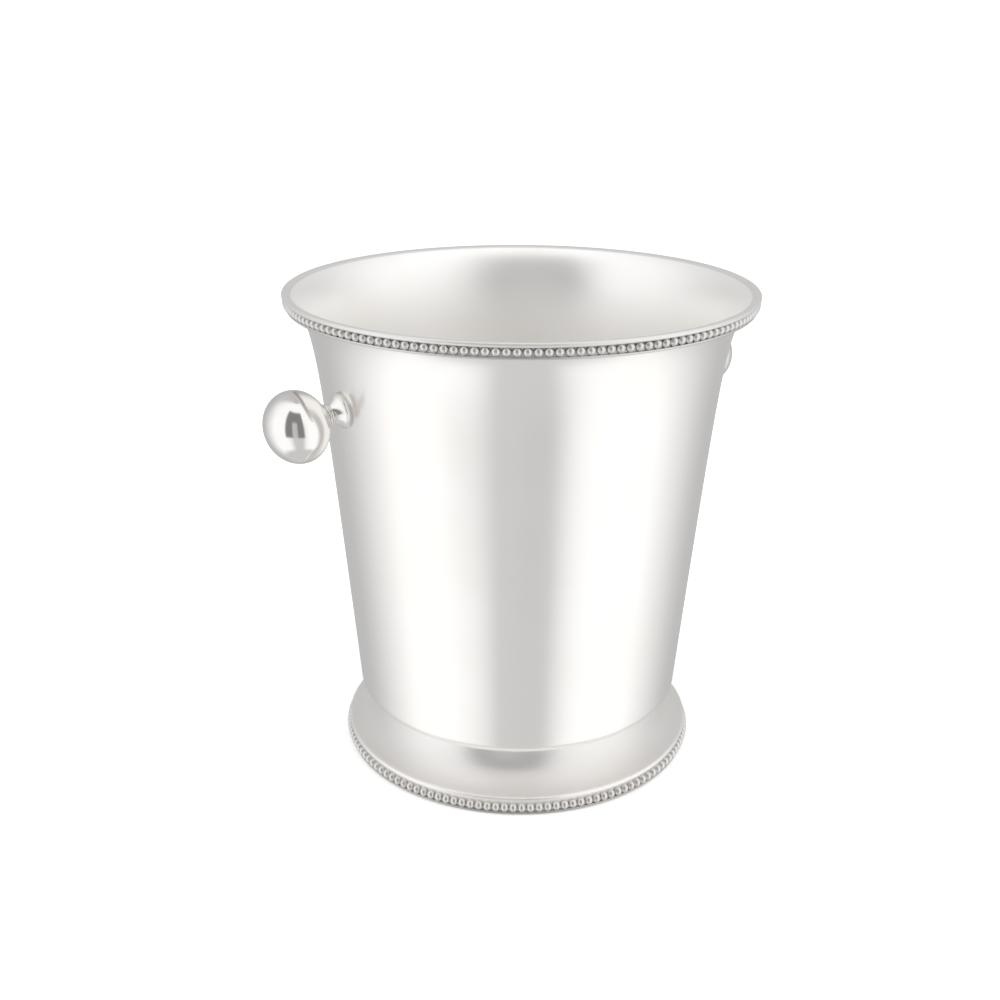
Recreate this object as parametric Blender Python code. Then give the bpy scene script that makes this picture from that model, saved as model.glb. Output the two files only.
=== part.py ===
"""A footed silver champagne bucket with beaded borders and two ball knobs.

Metres, +Z up. The origin is the centre of the foot's underside, and the
knobs stand on the X axis. Every turned piece is an outline of (radius,
height) points spun about an axis.
"""
import math

import bmesh
import bpy

MM = 0.001
FIT_GAP = 0.3 * MM            # left between two pieces that touch
SHEET = 1.2 * MM              # thickness of the spun sheet metal
RING_STEPS = 60               # facets round the large turned pieces

# Bucket: a tapered wall on a rounded shoulder, which flares out at the mouth
HEIGHT = 214.4 * MM
MOUTH_RADIUS = 102.5 * MM
FLOOR_Z = 25.0 * MM           # underside of the bucket's bottom
SHOULDER_RADIUS = 6.0 * MM
SHOULDER_CENTRE = 68.83 * MM  # distance of the shoulder's centre from the axis
WALL_FOOT_RADIUS = 74.75 * MM
WALL_TAPER = 0.0845           # how far the plain wall leans out for each unit of height
FLARE = 11.37 * MM            # how far the flare would stand out at the full height
FLARE_REACH = 18.0 * MM       # small for a flare that starts close to the mouth
WALL_START_Z = 35.0 * MM      # the lowest ring of the plain wall, above the shoulder
WALL_TOP_Z = 212.0 * MM
WALL_RINGS = 10

# Lip and beaded border at the mouth
LIP_WIDTH = 3.3 * MM
LIP_BOTTOM_Z = 212.3 * MM
RIM_BEADS = 164
RIM_BEAD_RADIUS = 102.2 * MM
RIM_ROOT_RADIUS = 100.9 * MM
RIM_BEAD_BOTTOM_Z = 208.2 * MM
RIM_BEAD_EDGE = 0.9 * MM      # height of the bevel above and below the beads
RIM_BEAD_BEVEL = 0.4 * MM     # how far the lower bevel leans in

# Foot: a spun trumpet with a flange under the bucket, a beaded border and a base band
FOOT_NECK_RADIUS = 61.8 * MM
FOOT_BRIM_RADIUS = 79.0 * MM
FOOT_EDGE_RADIUS = 79.9 * MM
FOOT_BRIM_Z = 8.3 * MM
FOOT_EDGE_DROP = 0.9 * MM     # how far the brim turns down to its edge
FLANGE_HOLE_RADIUS = 54.0 * MM
BASE_BAND_HEIGHT = 2.3 * MM
BASE_BAND_RADIUS = 82.3 * MM
BASE_BAND_WIDTH = 5.8 * MM
FOOT_BEADS = 135
FOOT_BEAD_RADIUS = 82.6 * MM
FOOT_ROOT_RADIUS = 81.3 * MM
FOOT_BEAD_CROWN = 2.4 * MM    # height of a bead's widest point above its bottom
FOOT_BEAD_BEVEL = 0.5 * MM

# Knobs: places along a knob's own axis are measured outwards from the wall
KNOB_Z = 172.7 * MM           # where a knob's axis meets the wall
KNOB_DROOP = math.radians(10.0)
KNOB_STEPS = 20
BALL_CENTRE = 21.0 * MM
BALL_LENGTH = 26.4 * MM
BALL_RADIUS = 15.1 * MM
COLLAR_RADIUS = 7.7 * MM
COLLAR_WAIST = 3.9 * MM
COLLAR_BACK = 0.9 * MM
COLLAR_FRONT = 5.5 * MM
COLLAR_EDGE = 0.6 * MM        # thickness of the collar's rim
REEL_RADIUS = 5.0 * MM
REEL_GROOVE = 4.2 * MM
REEL_FRONT = 7.4 * MM
REEL_RINGS = 2
STUD_RADIUS = 1.5 * MM
STUD_FRONT = 18.0 * MM
STUD_BACK = -5.6 * MM
BORE_RADIUS = STUD_RADIUS + FIT_GAP
BORE_STEPS = 12
BORE_DEPTH = 10.0 * MM        # of the cutter that drills the wall
WASHER_RADIUS = 4.5 * MM
WASHER_FRONT = -2.0 * MM
WASHER_THICKNESS = 0.8 * MM
NUT_ACROSS_CORNERS = 6.4 * MM
NUT_HEIGHT = 4.4 * MM

SILVER = (0.88, 0.87, 0.85, 1.0)
STEEL = (0.62, 0.62, 0.63, 1.0)


def clear_scene():
    for thing in list(bpy.data.objects):
        bpy.data.objects.remove(thing)


def metal(name, colour, roughness):
    """A bare metal of one colour and roughness."""
    material = bpy.data.materials.new(name)
    material.use_nodes = True
    shader = material.node_tree.nodes["Principled BSDF"]
    shader.inputs["Base Color"].default_value = colour
    shader.inputs["Metallic"].default_value = 1.0
    shader.inputs["Roughness"].default_value = roughness
    return material


def arc(centre, radii, start, end, steps):
    """Points of an ellipse's arc, with the angles in degrees from the outward direction."""
    points = []
    for step in range(steps + 1):
        angle = math.radians(start + (end - start) * step / steps)
        points.append((centre[0] + radii[0] * math.cos(angle),
                       centre[1] + radii[1] * math.sin(angle)))
    return points


def spun_mesh(outline, steps, open_at_axis=False):
    """Spin an outline about +Z. An outline that is open at the axis starts and ends on it."""
    mesh = bmesh.new()
    verts = [mesh.verts.new((radius, 0.0, height)) for radius, height in outline]
    ends = verts[1:] if open_at_axis else verts[1:] + verts[:1]
    edges = [mesh.edges.new(pair) for pair in zip(verts, ends)]
    bmesh.ops.spin(mesh, geom=verts + edges, cent=(0, 0, 0), axis=(0, 0, 1),
                   angle=math.tau, steps=steps, use_merge=True)
    bmesh.ops.remove_doubles(mesh, verts=mesh.verts, dist=1e-6)
    bmesh.ops.recalc_face_normals(mesh, faces=mesh.faces)
    return mesh


def add_object(name, mesh, material, parent=None):
    """Turn a bmesh into a named object with round stretches shaded smooth."""
    data = bpy.data.meshes.new(name)
    mesh.to_mesh(data)
    mesh.free()
    data.shade_smooth()
    data.set_sharp_from_angle(angle=math.radians(35))
    piece = bpy.data.objects.new(name, data)
    bpy.context.scene.collection.objects.link(piece)
    piece.parent = parent
    if material:
        data.materials.append(material)
    return piece


def wall_point(height, inset=0.0):
    """A point of the bucket's wall, or of a surface inset from it along its normal."""
    rise = height - FLOOR_Z - SHOULDER_RADIUS
    reach = FLARE_REACH + HEIGHT - height
    radius = WALL_FOOT_RADIUS + WALL_TAPER * rise + FLARE * (FLARE_REACH / reach) ** 2
    lean = WALL_TAPER + 2 * FLARE * FLARE_REACH ** 2 / reach ** 3
    length = math.hypot(1.0, lean)
    return radius - inset / length, height + inset * lean / length


def wall_heights():
    """Heights of the wall's rings, which close up towards the flare."""
    return [WALL_START_Z + (WALL_TOP_Z - WALL_START_Z) * math.sin(math.radians(90) * ring / WALL_RINGS)
            for ring in range(WALL_RINGS + 1)]


def make_bucket_shell(knob_axes):
    shoulder = (SHOULDER_CENTRE, FLOOR_Z + SHOULDER_RADIUS)
    inner_radius = SHOULDER_RADIUS - SHEET
    outside = arc(shoulder, (SHOULDER_RADIUS, SHOULDER_RADIUS), -90, -8, 3)
    outside += [wall_point(height) for height in wall_heights()]
    inside = arc(shoulder, (inner_radius, inner_radius), -90, -8, 3)
    inside += [wall_point(height, SHEET) for height in wall_heights()]
    outline = [(0.0, FLOOR_Z)] + outside + inside[::-1] + [(0.0, FLOOR_Z + SHEET)]
    shell = add_object("bucket_shell", spun_mesh(outline, RING_STEPS, open_at_axis=True),
                       metal("body_silver", SILVER, 0.2))
    for side, axis in knob_axes.items():
        cutter = bmesh.new()
        bmesh.ops.create_cone(cutter, cap_ends=True, segments=BORE_STEPS, radius1=BORE_RADIUS,
                              radius2=BORE_RADIUS, depth=BORE_DEPTH)
        hole = add_object("stud_hole_" + side, cutter, None, axis)
        hole.hide_render = True
        hole.display_type = "WIRE"
        cut = shell.modifiers.new("stud hole " + side, "BOOLEAN")
        cut.operation = "DIFFERENCE"
        cut.object = hole


def make_rim_lip():
    """The rolled edge of the mouth."""
    inner = MOUTH_RADIUS - LIP_WIDTH
    roll = (HEIGHT - LIP_BOTTOM_Z) / 2
    crown = arc((MOUTH_RADIUS - roll, LIP_BOTTOM_Z + roll), (roll, roll), -90, 90, 4)
    outline = [(inner, LIP_BOTTOM_Z)] + crown + [(inner + roll / 2, HEIGHT - roll / 4)]
    add_object("rim_lip", spun_mesh(outline, RING_STEPS), metal("lip_silver", SILVER, 0.12))


def make_bead_border(name, outline, root_radius, beads):
    """A band whose outer side is a row of beads, with a groove between each two."""
    mesh = spun_mesh(outline, 2 * beads)
    for vert in mesh.verts:
        radius = math.hypot(vert.co.x, vert.co.y)
        station = round(math.atan2(vert.co.y, vert.co.x) * beads / math.pi)
        if station % 2 and radius > root_radius:
            vert.co.x *= root_radius / radius
            vert.co.y *= root_radius / radius
    add_object(name, mesh, metal(name + "_silver", SILVER, 0.15))


def make_rim_bead_border():
    top = LIP_BOTTOM_Z - FIT_GAP
    bottom = RIM_BEAD_BOTTOM_Z
    back_top = wall_point(top)[0] + FIT_GAP
    back_bottom = wall_point(bottom)[0] + FIT_GAP
    outline = [(back_bottom, bottom), (RIM_BEAD_RADIUS - RIM_BEAD_BEVEL, bottom + RIM_BEAD_EDGE),
               (RIM_BEAD_RADIUS, top - RIM_BEAD_EDGE), (back_top, top)]
    make_bead_border("rim_bead_border", outline, RIM_ROOT_RADIUS, RIM_BEADS)


def make_foot():
    """The spun foot, whose inward flange is soldered under the bucket."""
    top = FLOOR_Z - FIT_GAP
    low = BASE_BAND_HEIGHT + FIT_GAP
    centre = (FOOT_BRIM_RADIUS, top)
    outer = (FOOT_BRIM_RADIUS - FOOT_NECK_RADIUS, top - FOOT_BRIM_Z)
    inner = (outer[0] + SHEET, outer[1] + SHEET)
    flange_angle = math.degrees(math.asin(SHEET / inner[1]))
    outside = arc(centre, outer, 180, 270, 7)
    inside = arc(centre, inner, 180 + flange_angle, 268, 7)
    outline = [(FLANGE_HOLE_RADIUS, top)] + outside
    outline += [(FOOT_EDGE_RADIUS, FOOT_BRIM_Z - FOOT_EDGE_DROP), (FOOT_EDGE_RADIUS, low),
                (FOOT_EDGE_RADIUS - SHEET, low), (FOOT_EDGE_RADIUS - SHEET, FOOT_BRIM_Z - SHEET)]
    outline += inside[::-1] + [(FLANGE_HOLE_RADIUS, top - SHEET)]
    add_object("foot_trumpet", spun_mesh(outline, RING_STEPS), metal("foot_silver", SILVER, 0.2))


def make_foot_bead_border():
    back = FOOT_EDGE_RADIUS + FIT_GAP
    bottom = BASE_BAND_HEIGHT + FIT_GAP
    fillet_z = FOOT_BRIM_Z - FIT_GAP
    outline = [(back, bottom), (FOOT_BEAD_RADIUS - 0.3 * MM, bottom + FOOT_BEAD_BEVEL),
               (FOOT_BEAD_RADIUS, bottom + FOOT_BEAD_CROWN),
               (FOOT_ROOT_RADIUS - 0.2 * MM, fillet_z - FOOT_BEAD_BEVEL),
               (back, fillet_z)]
    make_bead_border("foot_bead_border", outline, FOOT_ROOT_RADIUS, FOOT_BEADS)


def make_foot_base_band():
    """The flat ring that the bucket stands on."""
    chamfer = 0.4 * MM
    inner = BASE_BAND_RADIUS - BASE_BAND_WIDTH
    outline = [(inner, 0.0), (BASE_BAND_RADIUS - chamfer, 0.0), (BASE_BAND_RADIUS, chamfer),
               (BASE_BAND_RADIUS, BASE_BAND_HEIGHT), (inner, BASE_BAND_HEIGHT)]
    add_object("foot_base_band", spun_mesh(outline, RING_STEPS), metal("band_silver", SILVER, 0.15))


def add_knob_axis(side, turn):
    """An empty on the wall, whose +Z runs outwards along the knob's axis."""
    axis = bpy.data.objects.new("knob_axis_" + side, None)
    bpy.context.scene.collection.objects.link(axis)
    radius = wall_point(KNOB_Z)[0]
    axis.location = (radius * math.cos(turn), radius * math.sin(turn), KNOB_Z)
    axis.rotation_euler = (0.0, math.radians(90) + KNOB_DROOP, turn)
    return axis


def ball_surface(radius):
    """How far from the wall the ball's near side lies, at this radius from the knob's axis."""
    return BALL_CENTRE - BALL_LENGTH / 2 * math.sqrt(1 - (radius / BALL_RADIUS) ** 2)


def make_ball(name, axis):
    start = math.degrees(math.asin((ball_surface(BORE_RADIUS) - BALL_CENTRE) / (BALL_LENGTH / 2)))
    bore_end = STUD_FRONT + FIT_GAP
    outline = arc((0.0, BALL_CENTRE), (BALL_RADIUS, BALL_LENGTH / 2), start, 90, 10)
    outline[-1] = (0.0, BALL_CENTRE + BALL_LENGTH / 2)
    outline = [(0.0, bore_end), (BORE_RADIUS, bore_end)] + outline
    add_object(name, spun_mesh(outline, KNOB_STEPS, open_at_axis=True),
               metal(name + "_silver", SILVER, 0.06), axis)


def make_collar(name, axis):
    """The flared collar between the wall and the neck."""
    sweep = (COLLAR_RADIUS - COLLAR_WAIST, COLLAR_FRONT - COLLAR_BACK - COLLAR_EDGE)
    flare = arc((COLLAR_RADIUS, COLLAR_FRONT), sweep, 270, 180, 5)
    outline = [(BORE_RADIUS, COLLAR_BACK), (COLLAR_RADIUS, COLLAR_BACK)] + flare
    outline.append((BORE_RADIUS, COLLAR_FRONT))
    add_object(name, spun_mesh(outline, KNOB_STEPS), metal(name + "_silver", SILVER, 0.08), axis)


def make_neck_reel(name, axis):
    """The short turned reel of fine rings behind the ball."""
    back = COLLAR_FRONT + FIT_GAP
    pitch = (REEL_FRONT - back) / REEL_RINGS
    outline = [(BORE_RADIUS, back)]
    for ring in range(REEL_RINGS):
        start = back + ring * pitch
        outline += [(REEL_GROOVE, start), (REEL_RADIUS, start + pitch * 0.3),
                    (REEL_RADIUS, start + pitch * 0.7)]
    outline += [(REEL_GROOVE, REEL_FRONT), (BORE_RADIUS, REEL_FRONT)]
    add_object(name, spun_mesh(outline, KNOB_STEPS), metal(name + "_silver", SILVER, 0.08), axis)


def make_stud(name, axis):
    """The threaded rod that holds the knob, drawn at its outer diameter."""
    chamfer = 0.4 * MM
    outline = [(0.0, STUD_BACK), (STUD_RADIUS - chamfer, STUD_BACK), (STUD_RADIUS, STUD_BACK + chamfer),
               (STUD_RADIUS, STUD_FRONT - chamfer), (STUD_RADIUS - chamfer, STUD_FRONT),
               (0.0, STUD_FRONT)]
    add_object(name, spun_mesh(outline, BORE_STEPS, open_at_axis=True),
               metal(name + "_steel", STEEL, 0.35), axis)


def make_washer(name, axis):
    back = WASHER_FRONT - WASHER_THICKNESS
    outline = [(BORE_RADIUS, WASHER_FRONT), (WASHER_RADIUS, WASHER_FRONT),
               (WASHER_RADIUS, back), (BORE_RADIUS, back)]
    add_object(name, spun_mesh(outline, BORE_STEPS), metal(name + "_steel", STEEL, 0.35), axis)


def make_cap_nut(name, axis):
    """A hexagonal nut with a blind bore and a domed end, inside the bucket."""
    front = WASHER_FRONT - WASHER_THICKNESS - FIT_GAP
    corner = NUT_ACROSS_CORNERS / 2
    hexagon_back = front - 0.55 * NUT_HEIGHT
    dome = arc((0.0, hexagon_back), (corner * 0.8, 0.45 * NUT_HEIGHT), 0, -90, 3)
    dome[-1] = (0.0, front - NUT_HEIGHT)
    outline = [(0.0, STUD_BACK - FIT_GAP), (BORE_RADIUS, STUD_BACK - FIT_GAP), (BORE_RADIUS, front),
               (corner, front), (corner, hexagon_back)] + dome
    mesh = spun_mesh(outline, BORE_STEPS, open_at_axis=True)
    for vert in mesh.verts:
        radius = math.hypot(vert.co.x, vert.co.y)
        station = round(math.atan2(vert.co.y, vert.co.x) * 6 / math.pi)
        if station % 2 and radius > corner * 0.9:
            vert.co.x *= math.cos(math.radians(30))
            vert.co.y *= math.cos(math.radians(30))
    add_object(name, mesh, metal(name + "_steel", STEEL, 0.3), axis)


def make_knob(side, axis):
    prefix = "knob_" + side + "_"
    make_ball(prefix + "ball", axis)
    make_neck_reel(prefix + "neck_reel", axis)
    make_collar(prefix + "collar", axis)
    make_stud(prefix + "stud", axis)
    make_washer(prefix + "washer", axis)
    make_cap_nut(prefix + "cap_nut", axis)


def main():
    clear_scene()
    knob_axes = {"right": add_knob_axis("right", 0.0),
                 "left": add_knob_axis("left", math.pi)}
    make_bucket_shell(knob_axes)
    make_rim_lip()
    make_rim_bead_border()
    make_foot()
    make_foot_bead_border()
    make_foot_base_band()
    for side, axis in knob_axes.items():
        make_knob(side, axis)


main()
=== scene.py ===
"""The visual model of a footed silver champagne bucket, laid out as a Blender add-on.

Every piece is turned from an outline of (radius, height) points and finished in
procedural silver. Metres, +Z up, in the frame of the packed model.
"""
import math

import bmesh
import bpy
from mathutils import Matrix, Vector


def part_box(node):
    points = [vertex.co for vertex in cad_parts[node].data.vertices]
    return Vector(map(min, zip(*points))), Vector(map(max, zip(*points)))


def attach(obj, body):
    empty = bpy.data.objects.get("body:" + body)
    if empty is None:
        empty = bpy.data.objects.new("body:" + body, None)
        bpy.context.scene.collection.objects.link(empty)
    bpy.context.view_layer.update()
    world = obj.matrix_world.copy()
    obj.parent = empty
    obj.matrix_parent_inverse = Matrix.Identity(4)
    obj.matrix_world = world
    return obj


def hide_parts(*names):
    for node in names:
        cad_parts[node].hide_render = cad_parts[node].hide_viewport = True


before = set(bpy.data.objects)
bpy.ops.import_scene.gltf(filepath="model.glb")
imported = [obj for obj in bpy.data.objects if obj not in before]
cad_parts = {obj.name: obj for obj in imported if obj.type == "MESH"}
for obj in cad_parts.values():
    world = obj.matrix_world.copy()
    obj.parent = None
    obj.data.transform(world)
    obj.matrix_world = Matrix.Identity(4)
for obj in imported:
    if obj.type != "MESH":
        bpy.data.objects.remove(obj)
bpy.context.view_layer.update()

bl_info = {
    "name": "Silver Champagne Bucket",
    "version": (1, 0, 0),
    "blender": (4, 5, 0),
    "location": "View3D > Sidebar > Bucket",
    "description": "Builds a footed silver champagne bucket with beaded borders and ball knobs",
    "category": "Object",
}

MM = 0.001
BODY = "root"
SHELL_LOW, SHELL_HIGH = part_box("bucket_shell")
LIP_LOW, LIP_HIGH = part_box("rim_lip")
RIM_LOW, RIM_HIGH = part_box("rim_bead_border")
FOOT_LOW, FOOT_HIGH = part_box("foot_trumpet")
FOOT_BEADS_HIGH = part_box("foot_bead_border")[1]
BAND_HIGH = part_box("foot_base_band")[1]

FULL_TURN_STEPS = 288         # facets round the bucket's large turned pieces
KNOB_STEPS = 96               # facets round the turned pieces of a knob
KNOB_SIDES = ("left", "right")

# The studio tent. Angles are in degrees: azimuth from the front, elevation from level. A pair is
# where a soft edge starts and ends.
TENT_MIDDLE = 3.0
# Brightness at each azimuth from the tent's middle, for its walls and its roof
TENT_WALLS = [(0, 0.54), (16, 0.545), (19, 0.61), (27, 0.77), (35, 0.87), (46, 0.93), (84, 0.92), (94, 0.80),
              (108, 0.66), (122, 0.52), (138, 0.43), (180, 0.42)]
TENT_ROOF = [(0, 0.90), (75, 0.90), (100, 0.84), (130, 0.52), (180, 0.44)]
TENT_ROOF_EDGE = (12.0, 40.0)
TENT_STRENGTH = 1.25
TABLE_EDGE = (-64.0, -50.0)   # below this the tent shows the grey table
TABLE_GREY = 0.53
BACKDROP_GREY = 0.84          # what the camera sees behind the bucket
GAP_MIDDLE = -7.0             # azimuth of the dim gap at the front of the tent
GAP_SIDE = (31.0, 37.0)
GAP_BOTTOM = (-22.0, -17.0)
GAP_TOP = (54.0, 62.0)
GAP_GREY = 0.2
SLIT_SIDE = (6.0, 12.0)       # a lighter slit that stands in the middle of the gap
SLIT_TOP = (16.0, 32.0)
SLIT_LIGHT = 0.8              # share of the gap's dimness that the slit takes away
FIRST_LOOK_DEPTH = 2.5        # ray depth is 1 from the camera and 2 after one reflection

STUD_MIDDLE = 6.2 * MM        # from the wall to the middle of a stud, along the knob's axis


def length(label, words, value):
    """A size that a user can change, in metres."""
    return bpy.props.FloatProperty(name=label, description=words, default=value, unit="LENGTH",
                                   precision=4, min=0.0)


def bead_count(label, words, value):
    return bpy.props.IntProperty(name=label, description=words, default=value, min=12)


def factor(label, words, value):
    return bpy.props.FloatProperty(name=label, description=words, default=value, min=0.0, max=1.0)


def angle(label, words, degrees):
    return bpy.props.FloatProperty(name=label, description=words, default=math.radians(degrees),
                                   unit="ROTATION")


def colour(label, words, value):
    return bpy.props.FloatVectorProperty(name=label, description=words, default=value, size=3,
                                         subtype="COLOR", min=0.0, max=1.0)


class BucketBodySettings(bpy.types.PropertyGroup):
    """Sizes of the spun bucket and its lip."""
    sheet: length("Sheet", "Thickness of the spun sheet", 1.2 * MM)
    floor_z: length("Floor height", "Height of the bucket's underside", SHELL_LOW.z)
    shoulder: length("Shoulder radius", "Radius of the turn from the floor to the wall", 6.0 * MM)
    shoulder_centre: length("Shoulder centre", "Distance of that turn's centre from the axis", 68.83 * MM)
    wall_radius: length("Wall radius", "Radius of the wall just above the shoulder", 74.75 * MM)
    taper: factor("Taper", "How far the wall leans out for each unit of height", 0.0845)
    flare: length("Flare", "How far the flare stands out at the very top", 11.37 * MM)
    flare_reach: length("Flare reach", "Smaller for a flare that starts closer to the mouth", 18.0 * MM)
    wall_top: length("Wall top", "Height at which the wall runs into the lip", SHELL_HIGH.z - 0.4 * MM)
    height: length("Height", "Height of the lip's crown", LIP_HIGH.z)
    mouth_radius: length("Mouth radius", "Outer radius of the lip", LIP_HIGH.y)
    lip_roll: length("Lip roll", "Radius of the rolled edge", 1.0 * MM)


class BucketBorderSettings(bpy.types.PropertyGroup):
    """Sizes of the two beaded borders and the foot."""
    rim_beads: bead_count("Rim beads", "Beads round the mouth", 164)
    foot_beads: bead_count("Foot beads", "Beads round the foot", 135)
    bead: length("Bead radius", "Radius of one bead", 1.9 * MM)
    roll_reach: length("Roll reach", "How far past the foot's edge its brim starts to turn down", 0.25 * MM)
    roll_radius: length("Roll radius", "Radius of the foot's rolled brim over the beads", 1.1 * MM)
    foot_bead_half: length("Foot bead half height", "Half the height of a bead on the foot", 2.15 * MM)
    band_height: length("Base band height", "Height of the ring that the bucket stands on", 1.3 * MM)
    rim_reach: length("Rim reach", "Outer radius of the rim's beads", RIM_HIGH.y)
    # The grooves' darkening is partly tarnished silver and partly painted shade.
    groove_patina_and_shade: factor("Groove tarnish", "How far the grooves between the beads darken", 0.2)
    foot_reach: length("Foot reach", "Outer radius of the foot's beads", FOOT_BEADS_HIGH.y)
    neck: length("Foot neck", "Radius of the foot where it meets the bucket", 61.8 * MM)
    brim: length("Foot brim", "Radius at which the foot's curve lies flat", 79.0 * MM)
    brim_z: length("Brim height", "Height of the flat brim", 8.3 * MM)
    flange_hole: length("Flange hole", "Radius of the opening in the foot's flange", 54.0 * MM)
    band_width: length("Base band width", "Width of the ring that the bucket stands on", 5.8 * MM)


class BucketKnobSettings(bpy.types.PropertyGroup):
    """Sizes of a knob, measured outwards from the wall along its axis."""
    ball_centre: length("Ball centre", "Distance of the ball's centre", 21.0 * MM)
    ball_radius: length("Ball radius", "Radius across the knob's axis", 15.1 * MM)
    ball_half: length("Ball half length", "Half the ball's length along the knob's axis", 13.1 * MM)
    collar_radius: length("Collar radius", "Radius of the collar at the wall", 7.7 * MM)
    waist: length("Waist", "Radius of the neck at its narrowest", 3.9 * MM)
    ring: length("Ring radius", "Radius of the fine rings behind the ball", 4.9 * MM)
    nut: length("Nut radius", "Radius of the cap nut over its corners", 3.2 * MM)


class BucketSilverSettings(bpy.types.PropertyGroup):
    """Colours and finishes of the silver."""
    silver: colour("Silver", "Colour of the clean silver", (0.925, 0.910, 0.893))
    satin: colour("Satin silver", "Colour of the bright satin inside", (0.975, 0.965, 0.95))
    border: colour("Border silver", "Colour of the borders, which take less buffing", (0.76, 0.745, 0.73))
    knob: colour("Knob silver", "Colour of the knobs", (0.87, 0.855, 0.84))
    lip: colour("Lip silver", "Colour of the lip at the mouth", (0.83, 0.82, 0.805))
    # This dark colour stands for both tarnished silver and painted shade in recesses, grooves and joints.
    tarnish_and_shade: colour("Tarnish", "Colour of the silver in the recesses", (0.50, 0.48, 0.46))
    steel: colour("Steel", "Colour of the fasteners", (0.62, 0.62, 0.63))
    body_roughness: factor("Body roughness", "Roughness of the bucket's outside", 0.22)
    inside_roughness: factor("Inside roughness", "Roughness of the satin inside", 0.38)
    border_roughness: factor("Border roughness", "Roughness of the beaded borders", 0.34)
    knob_roughness: factor("Knob roughness", "Roughness of the bright knobs", 0.12)


class BucketStudioSettings(bpy.types.PropertyGroup):
    """The camera's place and the plain white studio."""
    azimuth: angle("Camera azimuth", "Camera's direction from the bucket; the knobs are on the X axis", -34.5)
    distance: length("Camera distance", "Level distance from the bucket's axis to the camera", 0.541)
    height: length("Camera height", "Height of the camera above the floor", 0.3242)
    pan: angle("Camera pan", "How far the camera looks to the right of the bucket's axis", -1.05)
    tilt: angle("Camera tilt", "How far the camera looks down", 21.16)
    roll: angle("Camera roll", "How far the camera leans", 0.18)
    lens: bpy.props.FloatProperty(name="Lens", description="Focal length for a 36 mm sensor", default=45.33,
                                  unit="CAMERA")
    shift: bpy.props.FloatProperty(name="Lens shift", description="Sideways shift of the lens",
                                   default=0.0027)
    floor: colour("Floor", "Colour of the floor", (0.95, 0.95, 0.95))


# Outlines

def arc(centre, radii, start, end, steps):
    """Points of an ellipse's arc; the angles are in degrees from the outward direction."""
    points = []
    for step in range(steps + 1):
        turn = math.radians(start + (end - start) * step / steps)
        points.append((centre[0] + radii[0] * math.cos(turn), centre[1] + radii[1] * math.sin(turn)))
    return points


def bend(start, corner, end, steps):
    """Points of a smooth bend that leaves start towards corner and reaches end from it."""
    points = []
    for step in range(steps + 1):
        share = step / steps
        weights = ((1 - share) ** 2, 2 * share * (1 - share), share ** 2)
        points.append(tuple(sum(weight * point[axis] for weight, point in zip(weights, (start, corner, end)))
                            for axis in (0, 1)))
    return points


def wall_point(body, height, inset=0.0):
    """A point of the bucket's wall, or of a surface inset from it along its normal."""
    rise = height - body.floor_z - body.shoulder
    reach = body.flare_reach + body.height - height
    radius = body.wall_radius + body.taper * rise + body.flare * (body.flare_reach / reach) ** 2
    lean = body.taper + 2 * body.flare * body.flare_reach ** 2 / reach ** 3
    span = math.hypot(1.0, lean)
    return radius - inset / span, height + inset * lean / span


def wall_heights(body, steps):
    """Heights from the shoulder to the mouth, closer together towards the flare."""
    low = body.floor_z + body.shoulder + 1.5 * MM
    return [low + (body.wall_top - low) * math.sin(math.radians(90) * step / steps)
            for step in range(steps + 1)]


# Meshes

def spun_mesh(outline, steps, open_at_axis=False):
    """Spin an outline about +Z. An outline that is open at the axis starts and ends on it."""
    mesh = bmesh.new()
    verts = [mesh.verts.new((radius, 0.0, height)) for radius, height in outline]
    ends = verts[1:] if open_at_axis else verts[1:] + verts[:1]
    edges = [mesh.edges.new(pair) for pair in zip(verts, ends)]
    bmesh.ops.spin(mesh, geom=verts + edges, cent=(0, 0, 0), axis=(0, 0, 1),
                   angle=math.tau, steps=steps, use_merge=True)
    bmesh.ops.remove_doubles(mesh, verts=mesh.verts, dist=1e-6)
    bmesh.ops.recalc_face_normals(mesh, faces=mesh.faces)
    return mesh


def add_beads(mesh, count, centre, radii):
    """A ring of beads, with radii along the ring's radial, tangential and upright directions."""
    bead = bmesh.new()
    bmesh.ops.create_uvsphere(bead, u_segments=20, v_segments=12, radius=1.0)
    squash = Matrix.Translation(centre) @ Matrix.Diagonal((*radii, 1.0))
    bead.transform(squash @ Matrix.Rotation(math.radians(90), 4, "Y"))
    for number in range(count):
        turn = Matrix.Rotation(math.tau * number / count, 3, "Z")
        copies = {vert: mesh.verts.new(turn @ vert.co) for vert in bead.verts}
        for face in bead.faces:
            mesh.faces.new([copies[vert] for vert in face.verts])
    bead.free()


def mark_points(data, name, value_of):
    """Store a number on each point, for the materials to read."""
    layer = data.attributes.new(name, "FLOAT", "POINT")
    layer.data.foreach_set("value", [value_of(vert.co) for vert in data.vertices])


def add_piece(name, mesh, material, nodes, patina_and_painted_shade=lambda point: 0.0, place=None):
    """Make a visible piece from a bmesh, and let it stand for its CAD nodes."""
    data = bpy.data.meshes.new(name)
    mesh.to_mesh(data)
    mesh.free()
    data.shade_smooth()
    data.set_sharp_from_angle(angle=math.radians(40))
    data.materials.append(material)
    mark_points(data, "patina_and_painted_shade", lambda point: max(0.0, min(1.0, patina_and_painted_shade(point))))
    mark_points(data, "turned", lambda point: math.hypot(point.x, point.y) + point.z)
    if place:
        data.transform(place)
    piece = bpy.data.objects.new(name, data)
    bpy.context.scene.collection.objects.link(piece)
    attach(piece, BODY)
    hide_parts(*nodes)
    return piece


# Materials

def node(tree, kind, **values):
    """Add a shader node, with its settings given by attribute."""
    made = tree.nodes.new("ShaderNode" + kind)
    for key, value in values.items():
        setattr(made, key, value)
    return made


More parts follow.
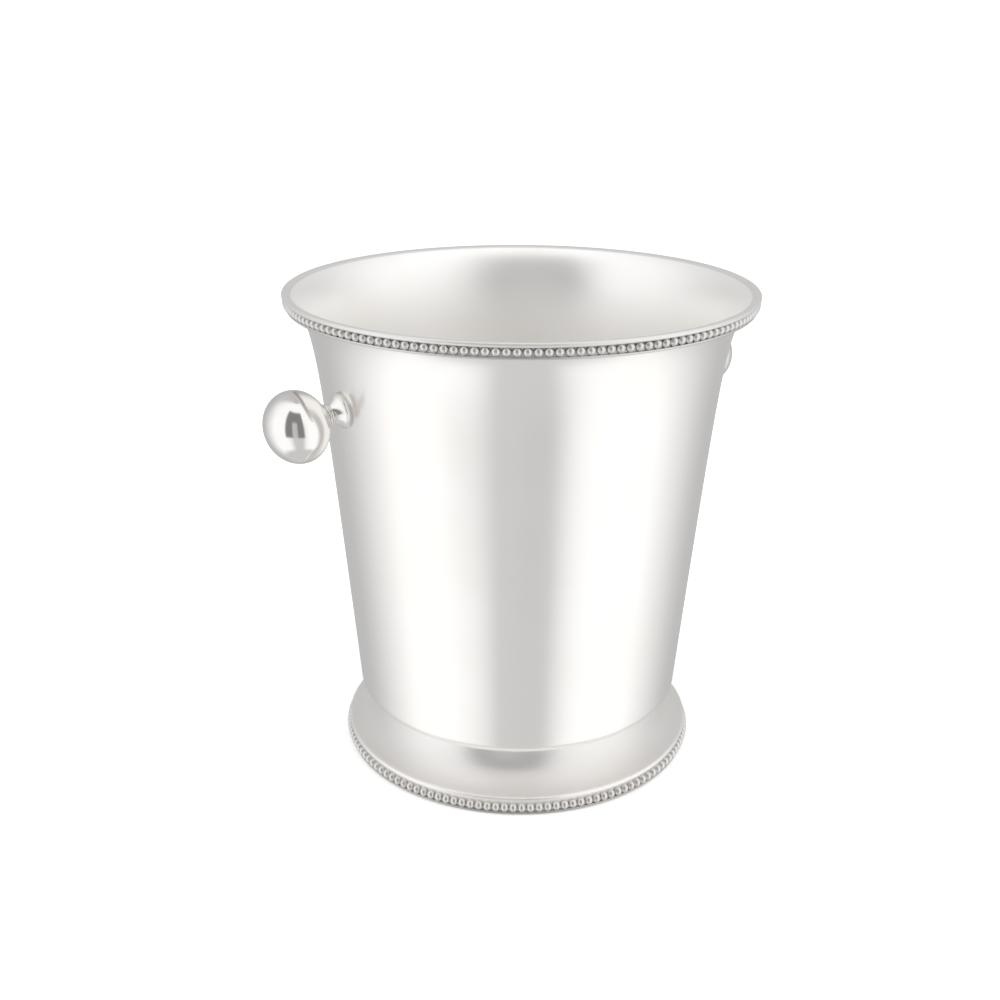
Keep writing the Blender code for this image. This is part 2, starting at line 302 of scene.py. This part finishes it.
def maths(tree, operation, first, second=None):
    """A Math node. Each side is a socket or a number."""
    made = node(tree, "Math", operation=operation)
    for socket, value in zip(made.inputs, (first, second)):
        if isinstance(value, bpy.types.NodeSocket):
            tree.links.new(value, socket)
        elif value is not None:
            socket.default_value = value
    return made.outputs[0]


def remap(tree, value, from_low, from_high, to_low, to_high, smooth=False):
    """A Map Range node, clamped."""
    made = node(tree, "MapRange", interpolation_type="SMOOTHSTEP" if smooth else "LINEAR")
    tree.links.new(value, made.inputs["Value"])
    for key, number in (("From Min", from_low), ("From Max", from_high), ("To Min", to_low),
                        ("To Max", to_high)):
        made.inputs[key].default_value = number
    return made.outputs["Result"]


def noise_on(tree, vector, scale, detail, roughness=0.5):
    """A Noise node that reads a given vector."""
    made = node(tree, "TexNoise")
    tree.links.new(vector, made.inputs["Vector"])
    made.inputs["Scale"].default_value = scale
    made.inputs["Detail"].default_value = detail
    made.inputs["Roughness"].default_value = roughness
    return made.outputs["Fac"]


def turning_lines(tree, position, fineness):
    """Noise drawn out round the piece's axis, like the fine lines that a lathe or a buffing wheel leaves."""
    parts = node(tree, "SeparateXYZ")
    tree.links.new(position, parts.inputs[0])
    turned = node(tree, "Attribute", attribute_name="turned").outputs["Fac"]
    drawn = node(tree, "CombineXYZ")
    around = 12.0
    tree.links.new(maths(tree, "MULTIPLY", parts.outputs["X"], around), drawn.inputs["X"])
    tree.links.new(maths(tree, "MULTIPLY", parts.outputs["Y"], around), drawn.inputs["Y"])
    tree.links.new(maths(tree, "MULTIPLY", turned, fineness), drawn.inputs["Z"])
    return noise_on(tree, drawn.outputs[0], 1.0, 3.0, 0.6)


def hairlines(tree, position, heading):
    """Sparse straight scratches, which all run one way."""
    turned = node(tree, "Mapping")
    tree.links.new(position, turned.inputs["Vector"])
    turned.inputs["Rotation"].default_value = heading
    turned.inputs["Scale"].default_value = (2600.0, 34.0, 2600.0)
    return remap(tree, noise_on(tree, turned.outputs[0], 1.0, 1.0), 0.71, 0.75, 0.0, 1.0)


def metal(name, clean, tarnish_and_shade, roughness, lines=0.2, line_fineness=2600.0, cloud=0.03, scratch=0.3,
          grain=0.0, frost=0.0):
    """Bare metal with buffing lines, cloudy patches, hairline scratches, and a dark tint in its recesses that
    is partly tarnished silver and partly painted shade.

    grain draws reflections out across the buffing lines, which run round the bucket's axis,
    and frost is the share of light that a blasted surface scatters all ways.
    """
    material = bpy.data.materials.new(name)
    material.use_nodes = True
    tree = material.node_tree
    shader = tree.nodes["Principled BSDF"]
    shader.inputs["Metallic"].default_value = 1.0 - frost
    if grain:
        shader.inputs["Anisotropic"].default_value = grain
        shader.inputs["Anisotropic Rotation"].default_value = 0.25
        tangent = node(tree, "Tangent", direction_type="RADIAL", axis="Z")
        tree.links.new(tangent.outputs[0], shader.inputs["Tangent"])
    position = node(tree, "TexCoord").outputs["Object"]

    patches = noise_on(tree, position, 22.0, 3.0)
    # The piece's mark pulls the colour towards the dark tint: partly tarnished silver, partly painted shade
    # in grooves, joints and corners.
    patina_and_painted_shade = node(tree, "Attribute", attribute_name="patina_and_painted_shade").outputs["Fac"]
    specks = noise_on(tree, position, 900.0, 2.0)
    patina_and_shade_share = maths(tree, "MULTIPLY", patina_and_painted_shade, remap(tree, specks, 0.3, 0.7, 0.75, 1.0))
    tint = node(tree, "Mix", data_type="RGBA")
    tree.links.new(patina_and_shade_share, tint.inputs["Factor"])
    tint.inputs["A"].default_value = (*clean, 1.0)
    tint.inputs["B"].default_value = (*tarnish_and_shade, 1.0)
    bloom = node(tree, "Mix", data_type="RGBA", blend_type="MULTIPLY")
    tree.links.new(remap(tree, patches, 0.35, 0.75, 0.0, 0.35), bloom.inputs["Factor"])
    tree.links.new(tint.outputs["Result"], bloom.inputs["A"])
    bloom.inputs["B"].default_value = (0.985, 0.965, 0.94, 1.0)
    tree.links.new(bloom.outputs["Result"], shader.inputs["Base Color"])

    buffed = turning_lines(tree, position, line_fineness)
    marks = maths(tree, "MAXIMUM", hairlines(tree, position, (0.5, 0.9, 0.3)),
                  hairlines(tree, position, (1.9, 0.2, 1.1)))
    rough = remap(tree, patches, 0.3, 0.7, roughness - cloud, roughness + cloud)
    rough = maths(tree, "ADD", rough, remap(tree, buffed, 0.35, 0.65, -0.4 * cloud, 0.4 * cloud))
    rough = maths(tree, "ADD", rough, maths(tree, "MULTIPLY", marks, scratch * 0.1))
    rough = maths(tree, "ADD", rough, maths(tree, "MULTIPLY", patina_and_shade_share, 0.3))
    tree.links.new(rough, shader.inputs["Roughness"])

    relief = maths(tree, "SUBTRACT", maths(tree, "MULTIPLY", buffed, lines),
                   maths(tree, "MULTIPLY", marks, scratch * 0.3))
    bump = node(tree, "Bump")
    bump.inputs["Strength"].default_value = 0.12
    bump.inputs["Distance"].default_value = 0.02 * MM
    tree.links.new(relief, bump.inputs["Height"])
    tree.links.new(bump.outputs["Normal"], shader.inputs["Normal"])
    return material


# Pieces

class BUCKET_OT_body(bpy.types.Operator):
    """Spin the bucket: tapered wall, rounded shoulder and flared mouth, polished outside and satin inside."""
    bl_idname = "bucket.body"
    bl_label = "Bucket body"

    def execute(self, context):
        body = context.scene.bucket_body
        silver = context.scene.bucket_silver
        inner = body.shoulder - body.sheet
        centre = (body.shoulder_centre, body.floor_z + body.shoulder)
        heights = wall_heights(body, 90)
        floor_rings = [body.shoulder_centre * share / 8 for share in range(8)]
        outside = [(radius, body.floor_z) for radius in floor_rings]
        outside += arc(centre, (body.shoulder, body.shoulder), -90, -6, 18)
        outside += [wall_point(body, height) for height in heights]
        inside = [(radius, body.floor_z + body.sheet) for radius in floor_rings]
        inside += arc(centre, (inner, inner), -90, -6, 18)
        inside += [wall_point(body, height, body.sheet) for height in heights]
        mesh = spun_mesh(outside + inside[::-1], FULL_TURN_STEPS, open_at_axis=True)

        def is_inside(face):
            """Faces of the inner surface look towards the axis or up."""
            centre_point = face.calc_center_median()
            towards_axis = face.normal.x * centre_point.x + face.normal.y * centre_point.y < 0
            return towards_axis or face.normal.z > 0.9

        for face in mesh.faces:
            face.material_index = int(is_inside(face))
        outer = metal("polished_body_silver", silver.silver, silver.tarnish_and_shade, silver.body_roughness,
                      lines=0.05, cloud=0.02, scratch=0.15, grain=0.75)
        satin = metal("satin_inside_silver", silver.satin, silver.tarnish_and_shade, silver.inside_roughness,
                      lines=0.8, line_fineness=1500.0, cloud=0.04, frost=0.3)

        def patina_and_painted_shade(point):
            """Painted shade, with some tarnished silver: the wall darkens where it runs under the rim's
            border.
            """
            outside = math.hypot(point.x, point.y) > wall_point(body, point.z, body.sheet / 2)[0]
            return 0.4 * (1 - abs(point.z - RIM_LOW.z) / (1.2 * MM)) if outside else 0.0

        piece = add_piece("silver_bucket_body", mesh, outer, ["bucket_shell"], patina_and_painted_shade)
        piece.data.materials.append(satin)
        return {"FINISHED"}


class BUCKET_OT_lip(bpy.types.Operator):
    """Roll the plain lip that finishes the mouth."""
    bl_idname = "bucket.lip"
    bl_label = "Rolled lip"

    def execute(self, context):
        body = context.scene.bucket_body
        silver = context.scene.bucket_silver
        roll = body.lip_roll
        inner_edge = wall_point(body, body.wall_top, body.sheet)
        outer_edge = wall_point(body, body.wall_top)
        centre = (body.mouth_radius - roll, body.height - roll)
        top = (centre[0], body.height)
        lean = (outer_edge[0] - wall_point(body, body.wall_top - 1.0 * MM)[0]) / (1.0 * MM)
        crest = (inner_edge[0] + lean * (body.height - inner_edge[1]), body.height)
        outline = bend((inner_edge[0] - 0.03 * MM, inner_edge[1] - 0.03 * MM), crest, top, 16)
        outline += arc(centre, (roll, roll), 88, -100, 24)
        outline.append((outer_edge[0] + 0.1 * MM, outer_edge[1] + 0.05 * MM))
        soft = metal("soft_lip_silver", silver.lip, silver.tarnish_and_shade, silver.border_roughness * 1.3,
                     lines=0.4, frost=0.2)
        add_piece("silver_rim_lip", spun_mesh(outline, FULL_TURN_STEPS), soft, ["rim_lip"])
        return {"FINISHED"}


def beaded_band(strip, beads, centre, radii):
    """A turned strip with a ring of beads set in it."""
    mesh = spun_mesh(strip, FULL_TURN_STEPS)
    add_beads(mesh, beads, centre, radii)
    return mesh


def groove_depth(point, beads, centre, bead):
    """1 in the grooves between the beads and behind them, and 0 on their crowns."""
    turn = math.atan2(point.y, point.x) * beads / math.tau
    across = abs(turn - round(turn)) * 2
    out = (math.hypot(point.x, point.y) - centre[0]) / bead
    off = abs(point.z - centre[2]) / bead
    sunk = max(0.0, 0.75 - out) * 1.1
    return min(1.0, max(sunk, 1.6 * (max(across, off) - 0.72)))


class BUCKET_OT_rim_border(bpy.types.Operator):
    """Set the beaded border under the lip."""
    bl_idname = "bucket.rim_border"
    bl_label = "Rim border"

    def execute(self, context):
        body = context.scene.bucket_body
        border = context.scene.bucket_borders
        silver = context.scene.bucket_silver
        bead = border.bead
        top = LIP_LOW.z
        centre = (border.rim_reach - bead, 0.0, top - 0.85 * bead)
        round_edge = 0.55 * MM
        fillet = (centre[0] + 0.1 * MM, centre[2] - bead - round_edge)
        low = fillet[1] - round_edge
        back = centre[0] - 0.25 * bead
        strip = [(wall_point(body, low)[0] - 0.2 * MM, low)]
        strip += arc(fillet, (round_edge, round_edge), -90, 100, 12)
        strip += [(back, fillet[1] + round_edge), (back, top),
                  (wall_point(body, top - 0.3 * MM)[0] - 0.2 * MM, top)]
        mesh = beaded_band(strip, border.rim_beads, centre, (bead, bead, bead))
        bright = metal("bright_rim_border_silver", silver.border, silver.tarnish_and_shade, silver.border_roughness)
        # Painted shade, with some tarnished silver, darkens the grooves between the beads and behind them.
        add_piece("silver_rim_border", mesh, bright, ["rim_bead_border"],
                  lambda point: border.groove_patina_and_shade * groove_depth(point, border.rim_beads, centre, bead))
        return {"FINISHED"}


class BUCKET_OT_foot(bpy.types.Operator):
    """Spin the concave foot with its flange under the bucket."""
    bl_idname = "bucket.foot"
    bl_label = "Foot"

    def execute(self, context):
        body = context.scene.bucket_body
        border = context.scene.bucket_borders
        silver = context.scene.bucket_silver
        sheet = body.sheet
        top = FOOT_HIGH.z + 0.25 * MM
        edge = FOOT_HIGH.y
        centre = (border.brim, FOOT_HIGH.z)
        outer = (border.brim - border.neck, FOOT_HIGH.z - border.brim_z)
        inner = (outer[0] + sheet, outer[1] + sheet)
        flange_turn = math.degrees(math.asin(sheet / inner[1]))
        outline = [(border.flange_hole, top), (border.neck, top)]
        outline += arc(centre, outer, 180, 270, 60)
        roll = border.roll_radius
        outline += arc((edge + border.roll_reach, border.brim_z - roll), (roll, roll), 90, -70, 16)
        outline += [(edge, FOOT_LOW.z), (edge - sheet, FOOT_LOW.z), (edge - sheet, border.brim_z - sheet)]
        outline += arc(centre, inner, 180 + flange_turn, 268, 40)[::-1]
        outline.append((border.flange_hole, top - sheet))
        polished = metal("polished_foot_silver", silver.silver, silver.tarnish_and_shade, silver.body_roughness * 1.8,
                         lines=0.2, line_fineness=2000.0, grain=0.5, frost=0.25)

        def patina_and_painted_shade(point):
            """Painted shade, with some tarnished silver: the foot darkens in the angle under the bucket."""
            return 0.4 * (point.z - FOOT_HIGH.z + 2.5 * MM) / (2.5 * MM)

        add_piece("silver_foot", spun_mesh(outline, FULL_TURN_STEPS), polished,
                  ["foot_trumpet"], patina_and_painted_shade)
        return {"FINISHED"}


class BUCKET_OT_foot_border(bpy.types.Operator):
    """Set the beaded border round the foot, under its rolled brim."""
    bl_idname = "bucket.foot_border"
    bl_label = "Foot border"

    def execute(self, context):
        border = context.scene.bucket_borders
        silver = context.scene.bucket_silver
        bead = border.bead
        back = FOOT_HIGH.y
        half = border.foot_bead_half
        low = border.band_height + 0.03 * MM
        centre = (border.foot_reach - bead, 0.0, border.band_height + half)
        high = border.brim_z - border.roll_radius
        strip = [(back + 0.05 * MM, low), (back + 0.5 * MM, low), (back + 0.5 * MM, high),
                 (back + 0.05 * MM, high)]
        spread = 0.49 * math.tau * centre[0] / border.foot_beads
        mesh = beaded_band(strip, border.foot_beads, centre, (bead, min(bead, spread), half))
        bright = metal("bright_foot_border_silver", silver.border, silver.tarnish_and_shade, silver.border_roughness)

        def patina_and_painted_shade(point):
            """The grooves between the beads hold tarnished silver and painted shade."""
            return border.groove_patina_and_shade * groove_depth(point, border.foot_beads, centre, bead)

        add_piece("silver_foot_border", mesh, bright, ["foot_bead_border"], patina_and_painted_shade)
        return {"FINISHED"}


class BUCKET_OT_base_band(bpy.types.Operator):
    """Turn the plain ring that the bucket stands on."""
    bl_idname = "bucket.base_band"
    bl_label = "Base band"

    def execute(self, context):
        border = context.scene.bucket_borders
        silver = context.scene.bucket_silver
        outer = BAND_HIGH.y - 1.0 * MM
        inner = BAND_HIGH.y - border.band_width
        soft = 0.45 * MM
        outline = [(inner, 0.1 * MM), (inner + 0.1 * MM, 0.0)]
        outline += arc((outer - soft, soft), (soft, soft), -90, 0, 6)
        outline += arc((outer - soft, border.band_height - soft), (soft, soft), 0, 90, 6)
        outline.append((inner, border.band_height))
        soft_metal = metal("soft_band_silver", silver.border, silver.tarnish_and_shade, silver.border_roughness,
                           lines=0.6)
        # The whole band is darkened by painted shade, with some tarnished silver, where it stands on the
        # floor.
        add_piece("silver_base_band", spun_mesh(outline, FULL_TURN_STEPS), soft_metal,
                  ["foot_base_band"], lambda point: 0.8)
        return {"FINISHED"}


def knob_place(side):
    """A knob's frame: its origin on the wall, and +Z outwards along the knob's axis."""
    stud_low, stud_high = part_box("knob_" + side + "_stud")
    ball_low, ball_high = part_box("knob_" + side + "_ball")
    middle = (stud_low + stud_high) / 2
    outwards = ((ball_low + ball_high) / 2 - middle).normalized()
    turn = outwards.to_track_quat("Z", "Y").to_matrix().to_4x4()
    return Matrix.Translation(middle - outwards * STUD_MIDDLE) @ turn


class BUCKET_OT_knobs(bpy.types.Operator):
    """Turn the two ball knobs with their ringed necks and flared collars."""
    bl_idname = "bucket.knobs"
    bl_label = "Knobs"

    def ball(self, knob):
        return arc((0.0, knob.ball_centre), (knob.ball_radius, knob.ball_half), -90, 90, 72)

    def reel(self, knob):
        """Three fine rings with deep grooves between them, up against the ball."""
        back, front, rings = 5.8 * MM, 8.7 * MM, 3
        pitch = (front - back) / rings
        groove = knob.ring - 0.8 * MM
        outline = [(0.0, back - 0.4 * MM), (knob.waist, back - 0.4 * MM), (groove, back)]
        for ring in range(rings):
            middle = back + (ring + 0.5) * pitch
            size = knob.ring * (0.94, 1.0, 0.97)[ring]
            outline += arc((size - 0.45 * MM, middle), (0.45 * MM, pitch * 0.4), -90, 90, 10)
            outline.append((groove, middle + pitch * 0.5))
        outline += [(groove, front + 0.2 * MM), (0.0, front + 0.2 * MM)]
        return outline

    def collar(self, knob):
        """A thin rounded flange on the wall, a small step, and a trumpet up to the waist."""
        sunk, flange, front = -0.55 * MM, 1.7 * MM, 5.7 * MM
        edge = 0.6 * MM
        step = knob.collar_radius - 0.55 * MM
        outline = [(0.0, sunk), (knob.collar_radius - 0.1 * MM, sunk)]
        outline += arc((knob.collar_radius - edge, flange - edge), (edge, edge), 0, 90, 6)
        outline += [(step, flange), (step, flange + 0.15 * MM)]
        low, sweep = flange + 0.3 * MM, 24
        for number in range(sweep + 1):
            share = number / sweep
            radius = knob.waist + (step - knob.waist) * (1 - share) ** 1.5
            outline.append((radius, low + (front - low) * share))
        outline.append((0.0, front))
        return outline

    def execute(self, context):
        knob = context.scene.bucket_knobs
        silver = context.scene.bucket_silver
        for side in KNOB_SIDES:
            place = knob_place(side)
            node_name = "knob_" + side + "_"
            mirror = metal("mirror_" + side + "_ball_silver", silver.knob, silver.tarnish_and_shade,
                           silver.knob_roughness, lines=0.15, cloud=0.015)
            ball_back = knob.ball_centre - knob.ball_half
            # The back of the ball darkens towards the neck with painted shade and some tarnished silver.
            ball = add_piece("silver_" + side + "_ball", spun_mesh(self.ball(knob), KNOB_STEPS, True), mirror,
                             [node_name + "ball"],
                             lambda point: 0.5 * (ball_back + 5.0 * MM - point.z) / (4.0 * MM), place)
            ball.visible_glossy = False
            turned = metal("turned_" + side + "_neck_silver", silver.knob, silver.tarnish_and_shade,
                           silver.knob_roughness * 1.5, lines=0.4)
            # The grooves between the neck's rings darken with painted shade and some tarnished silver.
            add_piece("silver_" + side + "_neck_reel", spun_mesh(self.reel(knob), KNOB_STEPS, True), turned,
                      [node_name + "neck_reel"],
                      lambda point: (knob.ring - 0.55 * MM - math.hypot(point.x, point.y)) / (0.5 * MM),
                      place)
            # The collar darkens where it meets the wall with painted shade and some tarnished silver.
            add_piece("silver_" + side + "_collar", spun_mesh(self.collar(knob), KNOB_STEPS, True), turned,
                      [node_name + "collar"],
                      lambda point: 0.8 * (0.7 * MM - point.z) / (0.8 * MM), place)
        return {"FINISHED"}


class BUCKET_OT_fasteners(bpy.types.Operator):
    """Turn the washers and cap nuts inside the bucket, and finish the studs."""
    bl_idname = "bucket.fasteners"
    bl_label = "Fasteners"

    def washer(self):
        inner, outer, front, back, soft = 1.6 * MM, 4.5 * MM, -1.3 * MM, -2.8 * MM, 0.25 * MM
        outline = [(inner, front), (outer, front)]
        outline += arc((outer - soft, back + soft), (soft, soft), 0, -90, 5)
        outline.append((inner, back))
        return outline

    def cap_nut(self, knob):
        """A hexagon with chamfered corners under a round dome."""
        front, hexagon_back, back = -2.8 * MM, -5.3 * MM, -7.5 * MM
        corner = knob.nut
        dome = arc((0.0, hexagon_back), (corner * 0.8, hexagon_back - back), 0, -90, 16)
        outline = [(0.0, front), (corner * 0.9, front), (corner, front - 0.3 * MM),
                   (corner, hexagon_back + 0.3 * MM), (corner * 0.86, hexagon_back)]
        mesh = spun_mesh(outline + dome, 72, True)
        for vert in mesh.verts:
            turn = math.atan2(vert.co.y, vert.co.x)
            from_flat = (turn + math.radians(30)) % math.radians(60) - math.radians(30)
            flat = corner * math.cos(math.radians(30)) / math.cos(from_flat)
            radius = math.hypot(vert.co.x, vert.co.y)
            if radius > flat:
                vert.co.x *= flat / radius
                vert.co.y *= flat / radius
        return mesh

    def execute(self, context):
        knob = context.scene.bucket_knobs
        silver = context.scene.bucket_silver
        for side in KNOB_SIDES:
            place = knob_place(side)
            steel = metal("bright_" + side + "_fastener_steel", silver.steel, silver.tarnish_and_shade, 0.25,
                          lines=0.8, line_fineness=3500.0)
            # The washer darkens towards its hole under the nut with painted shade and some tarnished steel.
            add_piece("steel_" + side + "_washer", spun_mesh(self.washer(), KNOB_STEPS), steel,
                      ["knob_" + side + "_washer"],
                      lambda point: 0.4 * (2.4 * MM - math.hypot(point.x, point.y)) / (0.8 * MM), place)
            add_piece("steel_" + side + "_cap_nut", self.cap_nut(knob), steel,
                      ["knob_" + side + "_cap_nut"], place=place)
            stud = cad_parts["knob_" + side + "_stud"]
            thread = metal("threaded_" + side + "_stud_steel", silver.steel, silver.tarnish_and_shade, 0.35,
                           lines=1.0, line_fineness=2000.0)
            stud.data.materials.clear()
            stud.data.materials.append(thread)
        return {"FINISHED"}


# Stage

def camera_axes(studio):
    """The camera's right, up and forward directions."""
    heading = studio.azimuth - studio.pan
    ahead = Vector((-math.sin(heading) * math.cos(studio.tilt), math.cos(heading) * math.cos(studio.tilt),
                    -math.sin(studio.tilt)))
    right = ahead.cross(Vector((0, 0, 1))).normalized()
    up = right.cross(ahead)
    lean = Matrix.Rotation(-studio.roll, 3, ahead)
    return lean @ right, lean @ up, ahead


def add_camera(studio):
    lens = bpy.data.cameras.new("studio_camera")
    lens.lens = studio.lens
    lens.sensor_width = 36.0
    lens.shift_x = studio.shift
    lens.clip_start = 0.01
    lens.clip_end = 50.0
    camera = bpy.data.objects.new("studio_camera", lens)
    bpy.context.scene.collection.objects.link(camera)
    right, up, ahead = camera_axes(studio)
    turn = Matrix((right, up, -ahead)).transposed().to_4x4()
    spot = Vector((math.sin(studio.azimuth) * studio.distance, -math.cos(studio.azimuth) * studio.distance,
                   studio.height))
    camera.matrix_world = Matrix.Translation(spot) @ turn
    bpy.context.scene.camera = camera


def ramp(tree, value, stops):
    """A colour ramp of greys, from (position, brightness) stops."""
    made = node(tree, "ValToRGB")
    elements = made.color_ramp.elements
    elements[0].position, elements[1].position = stops[0][0], stops[-1][0]
    for position, _ in stops[1:-1]:
        elements.new(position)
    for element, (_, grey) in zip(elements, stops):
        element.color = (grey, grey, grey, 1.0)
    tree.links.new(value, made.inputs["Fac"])
    return made.outputs["Color"]


def grey_mix(tree, share, base, grey):
    """Mix a share of plain grey over a base colour."""
    made = node(tree, "Mix", data_type="RGBA")
    tree.links.new(share, made.inputs["Factor"])
    tree.links.new(base, made.inputs["A"])
    made.inputs["B"].default_value = (grey, grey, grey, 1.0)
    return made.outputs["Result"]


def add_studio_world(studio):
    """A white tent: bright side walls, a grey back, and a dim gap at the front where the camera stands.

    Only the first reflection of a camera ray meets the gap; light that bounces on between pieces misses it.
    """
    world = bpy.data.worlds.new("studio_tent")
    bpy.context.scene.world = world
    world.use_nodes = True
    tree = world.node_tree
    background = tree.nodes["Background"]
    light_path = node(tree, "LightPath")
    turned = node(tree, "VectorRotate", rotation_type="Z_AXIS")
    turned.inputs["Angle"].default_value = -studio.azimuth
    tree.links.new(node(tree, "TexCoord").outputs["Generated"], turned.inputs["Vector"])
    parts = node(tree, "SeparateXYZ")
    tree.links.new(turned.outputs[0], parts.inputs[0])
    towards = maths(tree, "MULTIPLY", parts.outputs["Y"], -1.0)
    azimuth = maths(tree, "MULTIPLY", maths(tree, "ARCTAN2", parts.outputs["X"], towards), 180 / math.pi)
    side = maths(tree, "ABSOLUTE", maths(tree, "SUBTRACT", azimuth, TENT_MIDDLE))
    elevation = maths(tree, "MULTIPLY", maths(tree, "ARCSINE", parts.outputs["Z"]), 180 / math.pi)
    walls = ramp(tree, maths(tree, "DIVIDE", side, 180.0), [(at / 180, grey) for at, grey in TENT_WALLS])
    roofs = ramp(tree, maths(tree, "DIVIDE", side, 180.0), [(at / 180, grey) for at, grey in TENT_ROOF])
    high = remap(tree, elevation, *TENT_ROOF_EDGE, 0.0, 1.0, smooth=True)
    tent = node(tree, "Mix", data_type="RGBA")
    for socket, value in (("Factor", high), ("A", walls), ("B", roofs)):
        tree.links.new(value, tent.inputs[socket])
    table = remap(tree, elevation, *TABLE_EDGE, 1.0, 0.0, smooth=True)
    tent = grey_mix(tree, table, tent.outputs["Result"], TABLE_GREY)

    off_gap = maths(tree, "ABSOLUTE", maths(tree, "SUBTRACT", azimuth, GAP_MIDDLE))
    gap = maths(tree, "MULTIPLY", remap(tree, off_gap, *GAP_SIDE, 1.0, 0.0, smooth=True),
                maths(tree, "MULTIPLY", remap(tree, elevation, *GAP_BOTTOM, 0.0, 1.0, smooth=True),
                      remap(tree, elevation, *GAP_TOP, 1.0, 0.0, smooth=True)))
    slit = maths(tree, "MULTIPLY", remap(tree, off_gap, *SLIT_SIDE, 1.0, 0.0, smooth=True),
                 remap(tree, elevation, *SLIT_TOP, 1.0, 0.0, smooth=True))
    dimness = maths(tree, "SUBTRACT", 1.0, maths(tree, "MULTIPLY", slit, SLIT_LIGHT))
    gap = maths(tree, "MULTIPLY", gap, dimness)
    first_look = maths(tree, "LESS_THAN", light_path.outputs["Ray Depth"], FIRST_LOOK_DEPTH)
    tent = grey_mix(tree, maths(tree, "MULTIPLY", gap, first_look), tent, GAP_GREY)
    seen = grey_mix(tree, light_path.outputs["Is Camera Ray"], tent, BACKDROP_GREY)
    tree.links.new(seen, background.inputs["Color"])
    background.inputs["Strength"].default_value = TENT_STRENGTH


def add_floor(studio):
    material = bpy.data.materials.new("pale_floor")
    material.use_nodes = True
    shader = material.node_tree.nodes["Principled BSDF"]
    shader.inputs["Base Color"].default_value = (*studio.floor, 1.0)
    shader.inputs["Roughness"].default_value = 1.0
    shader.inputs["Specular IOR Level"].default_value = 0.0
    shader.inputs["Emission Color"].default_value = (1.0, 1.0, 1.0, 1.0)
    shader.inputs["Emission Strength"].default_value = 0.3
    mesh = bmesh.new()
    bmesh.ops.create_circle(mesh, cap_ends=True, radius=8.0, segments=96)
    data = bpy.data.meshes.new("studio_floor")
    mesh.to_mesh(data)
    mesh.free()
    data.materials.append(material)
    floor = bpy.data.objects.new("studio_floor", data)
    floor.location.z = -0.05 * MM
    floor.visible_glossy = False
    bpy.context.scene.collection.objects.link(floor)


def add_overhead_light():
    """A broad soft light above, which keeps the floor white."""
    light = bpy.data.lights.new("overhead_softbox", "AREA")
    light.shape = "DISK"
    light.size = 1.6
    light.energy = 14.0
    lamp = bpy.data.objects.new("overhead_softbox", light)
    lamp.location = (0.0, 0.0, 1.9)
    lamp.visible_glossy = False
    bpy.context.scene.collection.objects.link(lamp)


class BUCKET_OT_stage(bpy.types.Operator):
    """Set up the white studio, its pale floor, soft light and camera."""
    bl_idname = "bucket.stage"
    bl_label = "Studio"

    def execute(self, context):
        studio = context.scene.bucket_studio
        add_camera(studio)
        add_studio_world(studio)
        add_floor(studio)
        add_overhead_light()
        context.scene.view_settings.view_transform = "Standard"
        return {"FINISHED"}


PIECE_OPERATORS = (BUCKET_OT_body, BUCKET_OT_lip, BUCKET_OT_rim_border, BUCKET_OT_foot, BUCKET_OT_foot_border,
                   BUCKET_OT_base_band, BUCKET_OT_knobs, BUCKET_OT_fasteners, BUCKET_OT_stage)
SETTINGS = {"bucket_body": BucketBodySettings, "bucket_borders": BucketBorderSettings,
            "bucket_knobs": BucketKnobSettings, "bucket_silver": BucketSilverSettings,
            "bucket_studio": BucketStudioSettings}


class BUCKET_PT_panel(bpy.types.Panel):
    """Lists the bucket's pieces and settings in the sidebar."""
    bl_idname = "BUCKET_PT_panel"
    bl_label = "Champagne Bucket"
    bl_space_type = "VIEW_3D"
    bl_region_type = "UI"
    bl_category = "Bucket"

    def draw(self, context):
        for operator in PIECE_OPERATORS:
            self.layout.operator(operator.bl_idname)
        for name, group in SETTINGS.items():
            box = self.layout.box()
            box.label(text=group.__doc__)
            for setting in group.__annotations__:
                box.prop(getattr(context.scene, name), setting)


def register():
    for group in SETTINGS.values():
        bpy.utils.register_class(group)
    for name, group in SETTINGS.items():
        setattr(bpy.types.Scene, name, bpy.props.PointerProperty(type=group))
    for operator in PIECE_OPERATORS:
        bpy.utils.register_class(operator)
    bpy.utils.register_class(BUCKET_PT_panel)


def unregister():
    bpy.utils.unregister_class(BUCKET_PT_panel)
    for operator in reversed(PIECE_OPERATORS):
        bpy.utils.unregister_class(operator)
    for name in SETTINGS:
        delattr(bpy.types.Scene, name)
    for group in SETTINGS.values():
        bpy.utils.unregister_class(group)


def main():
    register()
    for operator in PIECE_OPERATORS:
        category, name = operator.bl_idname.split(".")
        getattr(getattr(bpy.ops, category), name)()


if __name__ == "__main__":
    main()
